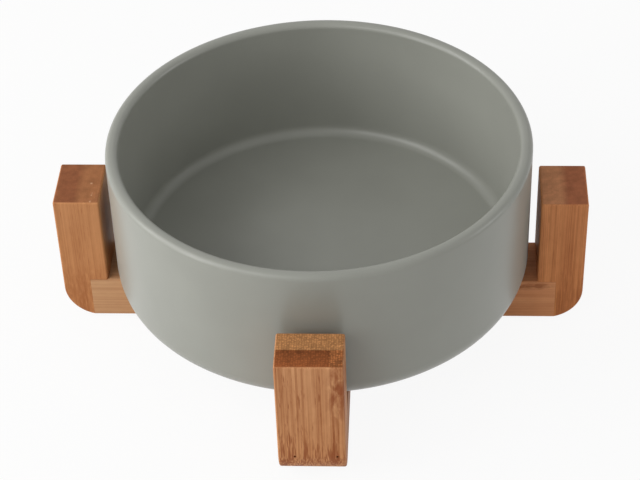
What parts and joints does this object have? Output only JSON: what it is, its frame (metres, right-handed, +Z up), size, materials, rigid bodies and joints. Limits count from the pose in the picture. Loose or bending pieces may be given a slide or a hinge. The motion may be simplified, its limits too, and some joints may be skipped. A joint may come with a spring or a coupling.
{
  "type": "pet bowl with stand",
  "caption": "Straight-sided glazed ceramic pet bowl that stands loose on a crossed bamboo stand with short uprights, rounded toes and non-slip pads.",
  "frame": {"origin": "middle of the stand on the floor, on the bowl's axis", "axes": "+Z up along the bowl's axis, -Y towards the front upright, +X to the right along the lower crossbar"},
  "size_m": [0.2, 0.2, 0.0795],
  "materials": {
    "glazed_bowl": "matte grey glaze",
    "bamboo": "carbonised laminated bamboo, sanded and oiled",
    "steel_brad": "drawn wire",
    "rubber_pad": "matte"
  },
  "bodies": {
    "lower_frame": {"lower_crossbar": "bamboo", "left_upright": "bamboo", "left_brad_front": "steel_brad", "left_brad_back": "steel_brad", "left_pad": "rubber_pad", "right_upright": "bamboo", "right_brad_front": "steel_brad", "right_brad_back": "steel_brad", "right_pad": "rubber_pad"},
    "upper_frame": {"upper_crossbar": "bamboo", "front_upright": "bamboo", "front_brad_left": "steel_brad", "front_brad_right": "steel_brad", "front_pad": "rubber_pad", "back_upright": "bamboo", "back_brad_left": "steel_brad", "back_brad_right": "steel_brad", "back_pad": "rubber_pad"},
    "bowl": {"bowl": "glazed_bowl"}
  },
  "joints": [
    {"name": "frame_lift", "type": "slide", "parent": "lower_frame", "child": "upper_frame", "axis": [0, 0, 1], "range_m": [0, 0.06]},
    {"name": "bowl_lift", "type": "slide", "parent": "upper_frame", "child": "bowl", "axis": [0, 0, 1], "range_m": [0, 0.08]}
  ]
}
